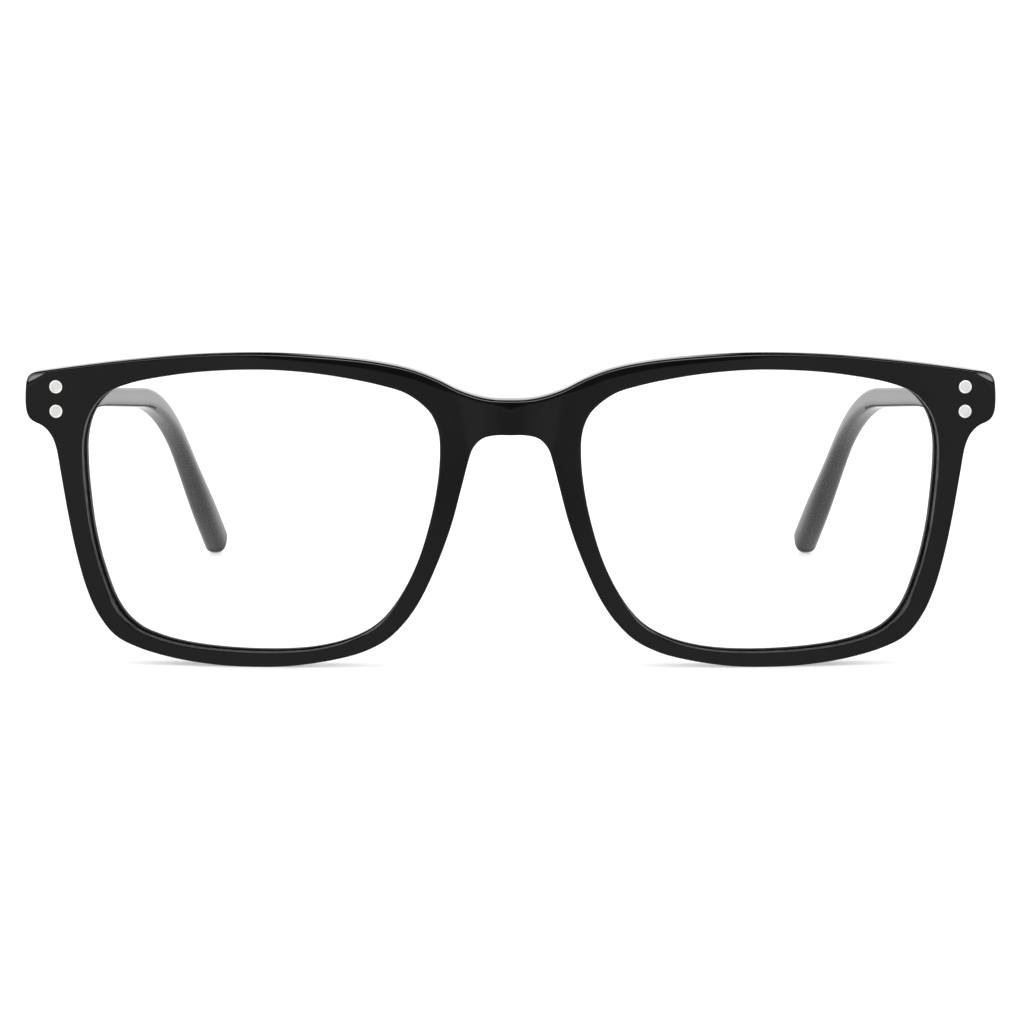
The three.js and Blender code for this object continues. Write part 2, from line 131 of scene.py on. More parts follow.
def eased(table, at):
    """A value that passes smoothly through the stations of a table of (place, value)."""
    at = np.asarray(at, float)
    value = np.full(at.shape, float(table[0][1]))
    for (low, start), (high, end) in zip(table, table[1:]):
        value = np.where(at >= low, start + (end - start) * smoothstep(at, low, high), value)
    return value


def sag(x, depth=0.0):
    """How far the bent front lies behind its foremost point, at a depth into its thickness."""
    return WRAP_RADIUS - np.sqrt((WRAP_RADIUS - depth) ** 2 - np.asarray(x, float) ** 2)


# ---- curves ----
def resampled(points, step=None, count=None, closed=True):
    """The polyline's points at equal distances along it."""
    points = np.asarray(points, float)
    if closed:
        points = np.vstack([points, points[:1]])
    along = np.concatenate([[0], np.cumsum(np.linalg.norm(np.diff(points, axis=0), axis=1))])
    count = count or max(int(round(along[-1] / step)), 8)
    at = np.linspace(0, along[-1], count + 1)
    if closed:
        at = at[:-1]
    return np.stack([np.interp(at, along, points[:, axis]) for axis in range(points.shape[1])], axis=1)


def through(points):
    """A closed centripetal Catmull-Rom curve through the points, densely sampled."""
    points = np.asarray(points, float)
    count = len(points)
    samples = []
    for i in range(count):
        p0, p1, p2, p3 = (points[(i + k) % count] for k in (-1, 0, 1, 2))
        knots = [0.0]
        for a, b in ((p0, p1), (p1, p2), (p2, p3)):
            knots.append(knots[-1] + max(np.linalg.norm(b - a), 1e-9) ** 0.5)
        t0, t1, t2, t3 = knots
        for t in np.linspace(t1, t2, 24, endpoint=False):
            a1 = (t1 - t) / (t1 - t0) * p0 + (t - t0) / (t1 - t0) * p1
            a2 = (t2 - t) / (t2 - t1) * p1 + (t - t1) / (t2 - t1) * p2
            a3 = (t3 - t) / (t3 - t2) * p2 + (t - t2) / (t3 - t2) * p3
            b1 = (t2 - t) / (t2 - t0) * a1 + (t - t0) / (t2 - t0) * a2
            b2 = (t3 - t) / (t3 - t1) * a2 + (t - t1) / (t3 - t1) * a3
            samples.append((t2 - t) / (t2 - t1) * b1 + (t - t1) / (t2 - t1) * b2)
    return np.array(samples)


def blurred(loop, reach, step):
    """A closed loop smoothed along its length by a bell of the given reach."""
    half = int(math.ceil(3 * reach / step))
    weights = np.exp(-0.5 * (np.arange(-half, half + 1) * step / reach) ** 2)
    weights /= weights.sum()
    return sum(w * np.roll(loop, k, axis=0) for w, k in zip(weights, range(-half, half + 1)))


def loop_normals(loop):
    """Unit normals to the left of a closed loop's direction."""
    along = np.roll(loop, -1, axis=0) - np.roll(loop, 1, axis=0)
    along /= np.linalg.norm(along, axis=1)[:, None]
    return np.stack([-along[:, 1], along[:, 0]], axis=1)


def area(loop):
    """The area a closed loop encloses, positive when it runs anticlockwise."""
    x, z = loop[:, 0], loop[:, 1]
    return 0.5 * np.sum(x * np.roll(z, -1) - np.roll(x, -1) * z)


def opening_loop(step=OUTLINE_STEP):
    """The lens opening's edge on the front face."""
    loop = resampled(through(LENS_OPENING), step)
    return resampled(blurred(loop, OUTLINE_BLUR, step), step)


def outline_half():
    """The outline's left half, from the middle of the bridge's top to the middle of its underside."""
    half = TOP_EDGE + ENDPIECE + OUTER_EDGE + NOSE_EDGE
    whole = [(0, BRIDGE_TOP)] + half + [(0, BRIDGE_UNDERSIDE)] + [(-x, z) for x, z in reversed(half)]
    loop = resampled(through(whole), OUTLINE_STEP)
    loop = blurred(loop, OUTLINE_BLUR, OUTLINE_STEP)
    start = np.argmin(np.abs(loop[:, 0]) + np.where(loop[:, 1] > 37.3, 0, 100))
    loop = np.roll(loop, -start, axis=0)
    end = np.argmin(np.abs(loop[:, 0]) + np.where(loop[:, 1] < 37.3, 0, 100))
    loop = loop[:end + 1]
    loop[0, 0] = loop[-1, 0] = 0
    return resampled(loop, OUTLINE_STEP, closed=False)


# ---- meshes ----
def new_object(name, vertices, faces, smooth_angle=35.0, second=()):
    """A mesh object from points in millimetres, with sharp edges where faces meet at more than the angle.

    The faces numbered in second take the piece's second material.
    """
    mesh = bpy.data.meshes.new(name)
    mesh.from_pydata([tuple(v) for v in np.asarray(vertices, float) * MM], [], faces)
    indices = np.zeros(len(faces), int)
    indices[list(second)] = 1
    mesh.polygons.foreach_set("material_index", indices)
    piece = bpy.data.objects.new(name, mesh)
    bpy.context.scene.collection.objects.link(piece)
    tidy(piece, smooth_angle)
    return piece


def tidy(piece, smooth_angle=35.0):
    """Welds the mesh, turns its faces outward and shades it smooth between its sharp edges."""
    mesh = piece.data
    work = bmesh.new()
    work.from_mesh(mesh)
    bmesh.ops.remove_doubles(work, verts=work.verts, dist=1e-6)
    bmesh.ops.recalc_face_normals(work, faces=work.faces)
    work.to_mesh(mesh)
    work.free()
    mesh.polygons.foreach_set("use_smooth", [True] * len(mesh.polygons))
    mesh.set_sharp_from_angle(angle=math.radians(smooth_angle))


def moved(piece, matrix):
    """Moves the mesh itself, and keeps its faces outward if the matrix mirrors it."""
    piece.data.transform(matrix)
    if matrix.determinant() < 0:
        piece.data.flip_normals()
    return piece


def mirrored(piece, name):
    copy = bpy.data.objects.new(name, piece.data.copy())
    bpy.context.scene.collection.objects.link(copy)
    return moved(copy, Matrix.Scale(-1, 4, (1, 0, 0)))


def combined(piece, others, operation, smooth_angle=35.0):
    """Cuts others from the piece, or joins them to it, and deletes them."""
    for other in others:
        step = piece.modifiers.new("solid", "BOOLEAN")
        step.operation = operation
        step.solver = "EXACT"
        step.object = other
    shape = bpy.data.meshes.new_from_object(piece.evaluated_get(bpy.context.evaluated_depsgraph_get()))
    piece.modifiers.clear()
    piece.data = shape
    for other in others:
        bpy.data.objects.remove(other)
    shape.polygons.foreach_set("use_smooth", [True] * len(shape.polygons))
    shape.set_sharp_from_angle(angle=math.radians(smooth_angle))
    return piece


def rounded_box(name, x, y, z, radius=0.15, segments=3):
    """A box between pairs of X, Y and Z, with its edges rounded."""
    work = bmesh.new()
    bmesh.ops.create_cube(work, size=1)
    size = Vector((x[1] - x[0], y[1] - y[0], z[1] - z[0]))
    middle = Vector((x[0] + x[1], y[0] + y[1], z[0] + z[1])) / 2
    for vertex in work.verts:
        vertex.co = Vector([c * s for c, s in zip(vertex.co, size)]) + middle
    if radius:
        bmesh.ops.bevel(work, geom=work.edges[:], offset=radius, segments=segments, affect="EDGES", profile=0.5)
    vertices = [vertex.co[:] for vertex in work.verts]
    faces = [[vertex.index for vertex in face.verts] for face in work.faces]
    work.free()
    return new_object(name, vertices, faces)


def turned(name, profile, sides=48, smooth_angle=35.0):
    """A turned solid about Z, from a profile of (radius, z) that starts and ends on the axis."""
    angles = np.linspace(0, 2 * math.pi, sides, endpoint=False)
    vertices, rows = [], []
    for radius, z in profile:
        if radius < 1e-6:
            rows.append([len(vertices)] * sides)
            vertices.append((0, 0, z))
        else:
            rows.append(list(range(len(vertices), len(vertices) + sides)))
            vertices += [(radius * math.cos(a), radius * math.sin(a), z) for a in angles]
    faces = []
    for low, high in zip(rows, rows[1:]):
        for k in range(sides):
            corners = [low[k], low[(k + 1) % sides], high[(k + 1) % sides], high[k]]
            unique = list(dict.fromkeys(corners))
            if len(unique) > 2:
                faces.append(unique)
    return new_object(name, vertices, faces, smooth_angle)


# ---- the front ----
def crease_x(z):
    """How far from the middle the crease between rim and bridge lies at a height."""
    (top_x, top_z), (low_x, low_z) = CREASE
    return low_x + (top_x - low_x) * (np.asarray(z, float) - low_z) / (top_z - low_z)


def soft_positive(value, softness):
    """max(value, 0) with its corner rounded over the softness."""
    return 0.5 * (value + np.sqrt(value ** 2 + softness ** 2))


def bevel_width(x):
    """The width of the bevel below the top edge."""
    return np.interp(np.abs(x), *zip(*BEVEL_WIDTHS))


def bevel_angle(x):
    return BEVEL_ANGLE * smoothstep(bevel_width(x), 0.45, 0.7)


def front_surface(x, z, below_top):
    """How far back the front face lies at a point, given its distance below the top edge."""
    x = np.abs(x)
    bulge = BRIDGE_BULGE * soft_positive(1 - (x / crease_x(z)) ** 2, CREASE_SOFTNESS)
    bevel = np.tan(bevel_angle(x)) * soft_positive(bevel_width(x) - below_top, 0.04)
    (low_x, low_z), (high_x, high_z) = FACET_EDGE
    along = Vector((high_x - low_x, high_z - low_z)).normalized()
    beyond = (x - low_x) * along.y - (z - low_z) * along.x
    facet = FACET_SLOPE * soft_positive(beyond, 0.03)
    return sag(x) - bulge + bevel + facet


def leaned(points, depth):
    """Where the opening's wall is at a depth behind the front surface: it stays square to the bent front."""
    return np.column_stack([points[:, 0] * (1 - depth / WRAP_RADIUS), points[:, 1]])


def matched(outer, inner):
    """For each point of the outer loop, a place along the inner loop: the nearest, evened out and always advancing."""
    gaps = np.linalg.norm(outer[:, None] - inner[None], axis=2)
    nearest = np.argmin(gaps, axis=1).astype(float)
    count = len(inner)
    steps = (np.diff(nearest, append=nearest[0]) + count / 2) % count - count / 2
    if steps.sum() < 0:
        raise ValueError("the loops run in opposite directions")
    place = nearest[0] + np.concatenate([[0], np.cumsum(steps)[:-1]])
    reach = 14
    weights = np.exp(-0.5 * (np.arange(-3 * reach, 3 * reach + 1) / reach) ** 2)
    weights /= weights.sum()
    drift = place - np.arange(len(place)) * count / len(place)
    smooth = sum(w * np.roll(drift, k) for w, k in zip(weights, range(-3 * reach, 3 * reach + 1)))
    place = smooth + np.arange(len(place)) * count / len(place)
    low = np.floor(place).astype(int)
    part = (place - low)[:, None]
    return inner[low % count] * (1 - part) + inner[(low + 1) % count] * part


def front_half():
    """The front's left half, open along the middle of the bridge: vertices, faces, and which faces take the dulled
    acetate: the opening's inner walls, darkened with painted shade.
    """
    round_steps = 5
    r = EDGE_RADIUS
    t = FRONT_THICKNESS
    edge = outline_half()
    middle_z = np.linspace(edge[-1, 1] + r, edge[0, 1] - max(r, TOP_RADII[0][1]), 12)[1:-1]
    outer = np.vstack([edge, np.column_stack([np.zeros_like(middle_z), middle_z])])
    walled = np.arange(len(outer)) < len(edge)

    inner_loop = opening_loop(0.25)
    if np.sign(area(inner_loop)) != np.sign(area(outer)):
        inner_loop = inner_loop[::-1]
    inner = matched(outer, inner_loop)
    inward = loop_normals(outer) * np.sign(area(outer))
    inward[0] = (0, -1)
    inward[len(edge) - 1] = (0, 1)
    inward[~walled] = 0
    away = -loop_normals(inner) * np.sign(area(inner))

    facing_up = smoothstep(-inward[:, 1], 0.5, 0.85)
    top_r = np.where(walled, r + (np.interp(outer[:, 0], *zip(*TOP_RADII)) - r) * facing_up, r)[:, None]
    start = (bevel_angle(outer[:, 0]) * facing_up)[:, None]
    top = edge[:int(np.argmax(edge[:, 0])) + 1]
    front_spans = 1 - (1 - np.linspace(0, 1, 37)) ** 1.5      # closer together towards the outer edge
    back_spans = np.linspace(0, 1, 13)
    columns = []

    def front_y(points):
        x = np.clip(points[:, 0], 0, top[-1, 0])
        return front_surface(points[:, 0], points[:, 1], np.interp(x, top[:, 0], top[:, 1]) - points[:, 1])

    def add(points, depth):
        columns.append(np.column_stack([points[:, 0], FRONT_Y + depth, points[:, 1]]))

    face_inner = inner + away * r
    face_outer = outer + inward * top_r * (1 - np.sin(start))
    for u in front_spans:
        points = face_inner * (1 - u) + face_outer * u
        add(points, front_y(points))
    outer_wall_from = len(columns) - 1
    rim_y = front_y(face_outer)
    reach = (top_r * np.cos(start))[:, 0]
    for share in np.linspace(0, 1, round_steps + 1)[1:]:
        angle = start + (math.pi / 2 - start) * share
        add(outer + inward * top_r * (1 - np.sin(angle)), rim_y + reach - (top_r * np.cos(angle))[:, 0])
    back = sag(outer[:, 0], t)
    for share in (0.33, 0.66):
        add(outer, (rim_y + reach) * (1 - share) + (back - r) * share)
    turns = np.linspace(0, math.pi / 2, round_steps + 1)[1:]
    for a in turns[::-1]:
        add(outer + inward * r * (1 - math.sin(a)), back - r * (1 - math.cos(a)))
    outer_wall_to = len(columns)
    back_inner = leaned(inner, t) + away * r
    for u in back_spans[::-1]:
        points = back_inner * (1 - u) + (outer + inward * r) * u
        add(points, sag(points[:, 0], t))
    inner_back = sag(back_inner[:, 0], t)
    inner_wall_from = len(columns) + round_steps - 1
    for a in turns:
        add(leaned(inner, t - r) + away * r * (1 - math.sin(a)), inner_back - r * (1 - math.cos(a)))
    near = LENS_INSET - 0.12
    far = LENS_INSET + LENS_THICKNESS + 0.12
    bite = LENS_BITE + 0.12
    level = sag(inner[:, 0])
    for depth, sunk in ((far, 0), (far - 0.1, bite), (near + 0.1, bite), (near, 0)):
        add(leaned(inner, depth) + away * sunk, level + depth)
    inner_front = front_y(face_inner)
    inner_wall_to = len(columns)
    for a in turns[::-1]:
        add(inner + away * r * (1 - math.sin(a)), inner_front + r * (1 - math.cos(a)))

    rows, width = len(outer), len(columns)
    vertices = np.stack(columns, axis=1).reshape(-1, 3)
    faces, dulled = [], []
    for i in range(rows):
        j = (i + 1) % rows
        open_here = not (walled[i] and walled[j])
        for k in range(width):
            m = (k + 1) % width
            if open_here and outer_wall_from <= k < outer_wall_to:
                continue
            # the opening's inner walls take the dulled acetate: partly a rough milled finish, partly painted shade
            # that keeps them dark
            if inner_wall_from <= k < inner_wall_to:
                dulled.append(len(faces))
            faces.append([i * width + k, j * width + k, j * width + m, i * width + m])
    return vertices, faces, dulled


def make_front():
    vertices, faces, dulled = front_half()
    mirror = vertices * (-1, 1, 1)
    count = len(vertices)
    flipped = [[count + i for i in reversed(face)] for face in faces]
    dulled = dulled + [len(faces) + i for i in dulled]
    return new_object("front_acetate", np.vstack([vertices, mirror]), faces + flipped, second=dulled)


# ---- lenses ----
def make_lens():
    """A clear meniscus with a bevelled edge that sits in the rim's groove."""
    loop = opening_loop(0.6)
    loop = loop[::-1] if area(loop) > 0 else loop
    outward = loop_normals(loop)
    centre = loop.mean(axis=0)
    rings = 18
    rows = []

    def row(points, depth):
        level = FRONT_Y + sag(points[:, 0]) + depth
        rows.append(np.column_stack([leaned(points, depth)[:, 0], level, points[:, 1]]))

    rim = loop + outward * (LENS_BITE - 0.45)
    tip = loop + outward * (LENS_BITE - 0.02)
    for k in range(1, rings + 1):
        row(centre + (rim - centre) * (k / rings), LENS_INSET)
    row(tip, LENS_INSET + LENS_THICKNESS / 2)
    for k in range(rings, 0, -1):
        row(centre + (rim - centre) * (k / rings), LENS_INSET + LENS_THICKNESS)
    count = len(loop)
    vertices = np.vstack(rows)
    faces = []
    for a in range(len(rows) - 1):
        for k in range(count):
            m = (k + 1) % count
            faces.append([a * count + k, a * count + m, (a + 1) * count + m, (a + 1) * count + k])
    for depth, ring in ((LENS_INSET, 0), (LENS_INSET + LENS_THICKNESS, len(rows) - 1)):
        middle = len(vertices)
        vertices = np.vstack([vertices, [[centre[0], FRONT_Y + float(sag(centre[0])) + depth, centre[1]]]])
        faces += [[middle, ring * count + k, ring * count + (k + 1) % count] for k in range(count)]
    return new_object("lens_clear_left", vertices, faces, 25.0)


# ---- the endpiece's own frame: X outward, Y back from the front surface ----
WRAP_ANGLE = math.asin(HINGE_X / WRAP_RADIUS)
ENDPIECE_FRAME = (
    Matrix.Translation(Vector((HINGE_X, FRONT_Y + float(sag(HINGE_X)), 0)) * MM)
    @ Matrix.Rotation(WRAP_ANGLE, 4, "Z")
)


# ---- temples ----
DARK_STRIP = (3.0, 74.0)            # the darker, duller strip along the temple's lower inner corner, along its length
DARK_STRIP_TURN = (math.radians(206), math.radians(226))
BEND_ANGLE = TIP_SLOPE - ARM_SLOPE
BEND_END = BEND_START + BEND_RADIUS * BEND_ANGLE
ARM_MIDDLE = sum(ARM_X) / 2


def arm_centre(s):
    """The temple's centre line at a distance along it: Y, Z and its downward slope."""
    in_bend = min(max((s - BEND_START) / BEND_RADIUS, 0), BEND_ANGLE)
    slope = ARM_SLOPE + in_bend
    straight = min(s, BEND_START)
    tail = max(s - BEND_END, 0)
    y = (ARM_START[0] + straight * math.cos(ARM_SLOPE)
         + BEND_RADIUS * (math.sin(slope) - math.sin(ARM_SLOPE)) + tail * math.cos(TIP_SLOPE))
    z = (ARM_START[1] - straight * math.sin(ARM_SLOPE)
         - BEND_RADIUS * (math.cos(ARM_SLOPE) - math.cos(slope)) - tail * math.sin(TIP_SLOPE))
    return y, z, slope


ARM_LENGTH = BEND_END + (arm_centre(BEND_END)[1] - TIP_RADIUS) / math.sin(TIP_SLOPE)


def make_temple():
    sides = 56
    turn = 2 * math.pi * (np.arange(sides) + 0.5) / sides
    stations = [(s, 1.0) for s in np.linspace(0, ARM_LENGTH, 190)]
    round_end = 14
    for k in range(1, round_end + 1):
        angle = math.pi / 2 * k / (round_end + 0.3)
        stations.append((ARM_LENGTH + TIP_RADIUS * math.sin(angle), math.cos(angle)))
    first_edge = 0.35
    stations = [(0, -2.0), (0.1, -1.0)] + stations[1:]
    vertices = []
    for s, scale in stations:
        y, z, slope = arm_centre(min(s, ARM_LENGTH) if scale >= 1 else s)
        half_width = float(eased(ARM_HALF_WIDTHS, s))
        half_height = float(eased(ARM_HALF_HEIGHTS, s))
        if scale < 0:
            shrink = first_edge if scale == -2.0 else 0.1
            half_width -= shrink
            half_height -= shrink
        elif scale < 1:
            half_width = float(eased(ARM_HALF_WIDTHS, ARM_LENGTH)) * scale
            half_height = TIP_RADIUS * scale
        square = 4.5 - 2.0 * float(smoothstep(s, 62, 100))
        u = np.sign(np.cos(turn)) * np.abs(np.cos(turn)) ** (2 / square) * half_width
        v = np.sign(np.sin(turn)) * np.abs(np.sin(turn)) ** (2 / square) * half_height
        tilt = slope * float(smoothstep(s, 0, 4))
        inward = ARM_INWARD_RATE / 2 * max(y - ARM_INWARD_FROM, 0) ** 2
        vertices.append(np.column_stack([ARM_MIDDLE - inward + u, y + v * math.sin(tilt), z + v * math.cos(tilt)]))
    rows = len(vertices)
    faces = [list(range(sides))[::-1], [(rows - 1) * sides + k for k in range(sides)]]
    dark_strip = []
    for a in range(rows - 1):
        for k in range(sides):
            m = (k + 1) % sides
            if DARK_STRIP[0] < stations[a][0] < DARK_STRIP[1] and DARK_STRIP_TURN[0] < turn[k] < DARK_STRIP_TURN[1]:
                dark_strip.append(len(faces))
            faces.append([a * sides + k, a * sides + m, (a + 1) * sides + m, (a + 1) * sides + k])
    return moved(new_object("temple_acetate_left", np.vstack(vertices), faces, 40.0, dark_strip), ENDPIECE_FRAME)


# ---- nose pads ----
PAD_LOW, PAD_HIGH = 12.5, 31.3
PAD_WIDTH = 2.2
PAD_DEPTH = 4.4


def make_nose_pad():
    edge = resampled(np.array(NOSE_EDGE[::-1]), 0.35, closed=False)
    edge = edge[(edge[:, 1] > PAD_LOW) & (edge[:, 1] < PAD_HIGH)]
    along = np.gradient(edge, axis=0)
    along /= np.linalg.norm(along, axis=1)[:, None]
    into_rim = np.stack([-along[:, 1], along[:, 0]], axis=1)
    if into_rim[len(edge) // 2, 0] < 0:
        into_rim = -into_rim
    sides = 28
    turn = 2 * math.pi * np.arange(sides) / sides
    rows = []
    for i, (point, across) in enumerate(zip(edge, into_rim)):
        share = i / (len(edge) - 1)
        swell = math.sin(math.pi * min(max(share, 0.012), 0.988)) ** 0.55
        depth = PAD_DEPTH * swell * (0.86 + 0.14 * math.cos(2 * math.pi * (share - 0.45)))
        width = PAD_WIDTH * (0.45 + 0.55 * swell) / 2
        base = FRONT_THICKNESS + float(sag(point[0])) - 0.15
        cosines = np.cos(turn)
        sines = np.sin(turn)
        sideways = width * np.sign(cosines) * np.abs(cosines) ** 0.8 + PAD_WIDTH / 2 + 0.3
        back = depth / 2 * (1 + np.sign(sines) * np.abs(sines) ** 0.8)
        rows.append(np.column_stack([
            point[0] + across[0] * sideways,
            FRONT_Y + base + back,
            point[1] + across[1] * sideways,
        ]))
    count = len(rows)
    faces = [list(range(sides)), [(count - 1) * sides + k for k in range(sides)][::-1]]
    for a in range(count - 1):
        for k in range(sides):
            m = (k + 1) % sides
            faces.append([a * sides + k, (a + 1) * sides + k, (a + 1) * sides + m, a * sides + m])
    return new_object("nose_pad_acetate_left", np.vstack(rows), faces, 60.0)


# ---- hinge ----
def barrel_floor(i):
    """The height at which a barrel of the hinge starts, counted from below."""
    return HINGE_Z + (i - BARREL_COUNT / 2) * BARREL_HEIGHT + BARREL_GAP / 2


def make_barrel(i):
    height = BARREL_HEIGHT - BARREL_GAP
    r, b, c = BARREL_RADIUS, 0.1, 0.03
    profile = [(0, 0), (r - b, 0), (r - c, c), (r, b), (r, height - b), (r - c, height - c), (r - b, height),
               (0, height)]
    barrel = turned(f"barrel_{i}", profile)
    return moved(barrel, Matrix.Translation(Vector((PIN_X, PIN_Y, barrel_floor(i))) * MM))


def make_bore():
    """The hole that the screw passes through, as a solid to cut away."""
    bore = turned("bore", [(0, -5), (BORE_RADIUS, -5), (BORE_RADIUS, 5), (0, 5)])
    return moved(bore, Matrix.Translation(Vector((PIN_X, PIN_Y, HINGE_Z)) * MM))


def make_front_leaf():
    t = FRONT_THICKNESS
    leaf = rounded_box("front_leaf_left", (-3.2, 1.2), (t - LEAF_THICKNESS, t + 0.12), (HINGE_Z - 3.3, HINGE_Z + 3.3))
    parts = []
    for i in range(0, BARREL_COUNT, 2):
        z = (barrel_floor(i), barrel_floor(i) + BARREL_HEIGHT - BARREL_GAP)
        parts += [make_barrel(i),
                  rounded_box(f"web_{i}", (PIN_X - BARREL_RADIUS, PIN_X + 1.2), (t - 0.2, PIN_Y), z, 0.04, 1)]
    combined(leaf, parts, "UNION", 30)
    return moved(combined(leaf, [make_bore()], "DIFFERENCE", 30), ENDPIECE_FRAME)


def make_temple_leaf():
    x = (ARM_X[0] - 0.12, ARM_X[0] + LEAF_THICKNESS)
    leaf = rounded_box("temple_leaf_left", x, (6.6, 16.4), (HINGE_Z - 3.1, HINGE_Z + 1.75))
    parts = []
    for i in range(1, BARREL_COUNT, 2):
        z = (barrel_floor(i), barrel_floor(i) + BARREL_HEIGHT - BARREL_GAP)
        parts += [make_barrel(i), rounded_box(f"web_{i}", (PIN_X, x[1] - 0.2), (6.7, 8.0), z, 0.04, 1)]
    combined(leaf, parts, "UNION", 30)
    return moved(combined(leaf, [make_bore()], "DIFFERENCE", 30), ENDPIECE_FRAME)


def make_screw():
    low = barrel_floor(0) - 0.3
    top = barrel_floor(BARREL_COUNT - 1) + BARREL_HEIGHT
    head = 1.3
    pitch = 0.3
    profile = [(0, low), (SCREW_RADIUS - 0.12, low)]
    z = low + 0.1
    while z < barrel_floor(1) - 0.2:
        profile += [(SCREW_RADIUS, z), (SCREW_RADIUS - 0.1, z + pitch / 2)]
        z += pitch
    profile += [(SCREW_RADIUS, z), (SCREW_RADIUS, top), (head - 0.06, top), (head, top + 0.08), (head, top + 0.38),
                (head - 0.12, top + 0.52), (head - 0.4, top + 0.6), (0, top + 0.62)]
    screw = turned("screw_left", profile)
    slot = rounded_box("slot", (-2, 2), (-0.2, 0.2), (top + 0.3, top + 1), 0)
    combined(screw, [slot], "DIFFERENCE", 30)
    return moved(screw, ENDPIECE_FRAME @ Matrix.Translation(Vector((PIN_X, PIN_Y, 0)) * MM))


# ---- rivets ----
def make_rivet(name, length, matrix):
    """A rivet along Z whose head ends near z = 0: a bright ring round a slightly sunk, frosted core."""
    r = RIVET_RADIUS
    ring = 0.2
    profile = [(0, 0.03), (0.35, 0.028), (r - ring - 0.06, 0.015), (r - ring, 0.02), (r - ring + 0.05, 0.06),
               (r - ring / 2, 0.085), (r - 0.05, 0.07), (r, 0.01), (r, -0.5), (0.55, -0.5), (0.55, -length),
               (0, -length)]
    rivet = turned(name, profile, 64, 40)
    for face in rivet.data.polygons:
        face.material_index = int(face.normal.z > 0.7 and math.hypot(*face.center[:2]) < (r - ring) * MM)
    return moved(rivet, matrix)


def rivets():
    """Each rivet with the CAD node it stands for, on the left side."""
    made = []
    face_front = Matrix.Rotation(math.pi / 2, 4, "X")
    for level, sign in (("upper", 1), ("lower", -1)):
        z = HINGE_Z + sign * FRONT_RIVET_SPAN / 2
        place = ENDPIECE_FRAME @ Matrix.Translation(Vector((0, 0, z)) * MM) @ face_front
        made.append((make_rivet(f"front_rivet_head_{level}_left", FRONT_THICKNESS - 0.15, place),
                     f"front_rivet_{level}_left"))
    face_out = Matrix.Rotation(math.pi / 2, 4, "Y")
    middle = arm_centre(TEMPLE_RIVET_Y - ARM_START[0])[1]
    for level, sign in (("upper", 1), ("lower", -1)):
        z = middle + sign * TEMPLE_RIVET_SPAN / 2
        place = ENDPIECE_FRAME @ Matrix.Translation(Vector((ARM_X[1], TEMPLE_RIVET_Y, z)) * MM) @ face_out
        made.append((make_rivet(f"temple_rivet_head_{level}_left", ARM_X[1] - ARM_X[0] - 0.1, place),
                     f"temple_rivet_{level}_left"))
    return made


# ---- materials ----
def new_material(name):
    material = bpy.data.materials.new(name)
    material.use_nodes = True
    nodes = material.node_tree.nodes
    return material, nodes, material.node_tree.links, nodes["Principled BSDF"]


def noise(nodes, links, scale, detail=3.0, roughness=0.5, stretch=(1, 1, 1)):
    place = nodes.new("ShaderNodeTexCoord")
    mapping = nodes.new("ShaderNodeMapping")
    mapping.inputs["Scale"].default_value = stretch
    texture = nodes.new("ShaderNodeTexNoise")
    texture.inputs["Scale"].default_value = scale
    texture.inputs["Detail"].default_value = detail
    texture.inputs["Roughness"].default_value = roughness
    links.new(place.outputs["Object"], mapping.inputs["Vector"])
    links.new(mapping.outputs["Vector"], texture.inputs["Vector"])
    return texture.outputs["Fac"]


def spread(nodes, links, factor, low, high):
    """Maps a 0 to 1 factor on to a range of numbers."""
    span = nodes.new("ShaderNodeMapRange")
    span.inputs["From Min"].default_value = 0.3
    span.inputs["From Max"].default_value = 0.7
    span.inputs["To Min"].default_value = low
    span.inputs["To Max"].default_value = high
    links.new(factor, span.inputs["Value"])
    return span.outputs["Result"]


def tint(nodes, links, factor, low, high):
    ramp = nodes.new("ShaderNodeValToRGB")
    ramp.color_ramp.elements[0].position = 0.35
    ramp.color_ramp.elements[1].position = 0.65
    ramp.color_ramp.elements[0].color = (*low, 1)
    ramp.color_ramp.elements[1].color = (*high, 1)
    links.new(factor, ramp.inputs["Fac"])
    return ramp.outputs["Color"]


def bump(nodes, links, shader, height, distance, strength=1.0):
    node = nodes.new("ShaderNodeBump")
    node.inputs["Distance"].default_value = distance
    node.inputs["Strength"].default_value = strength
    links.new(height, node.inputs["Height"])
    links.new(node.outputs["Normal"], shader.inputs["Normal"])


def acetate(name="black_acetate", haze_between=(0.035, 0.075), specular=0.5):
    """Black cellulose acetate: deep black, faint polishing haze and a very slight waviness."""
    material, nodes, links, shader = new_material(name)
    shader.inputs["Specular IOR Level"].default_value = specular
    cloud = noise(nodes, links, 90, 3)
    links.new(tint(nodes, links, cloud, (0.0012, 0.0012, 0.0013), (0.0026, 0.0026, 0.0028)),
              shader.inputs["Base Color"])
    haze = noise(nodes, links, 420, 4, 0.6)
    links.new(spread(nodes, links, haze, *haze_between), shader.inputs["Roughness"])
    shader.inputs["IOR"].default_value = 1.49
    wave = noise(nodes, links, 60, 1.5, 0.4)
    bump(nodes, links, shader, wave, 0.00003, 0.25)
    return material


def clear_plastic():
    material, nodes, links, shader = new_material("clear_lens")
    shader.inputs["Transmission Weight"].default_value = 1
    shader.inputs["IOR"].default_value = 1.0     # a lens without power shifts nothing that is seen through it
    shader.inputs["Coat Weight"].default_value = 0.5
    shader.inputs["Coat Roughness"].default_value = 0
    faint = noise(nodes, links, 30, 2)
    links.new(tint(nodes, links, faint, (0.985, 0.99, 0.99), (1, 1, 1)), shader.inputs["Base Color"])
    shader.inputs["Roughness"].default_value = 0
    shader.inputs["Alpha"].default_value = 0.3
    return material


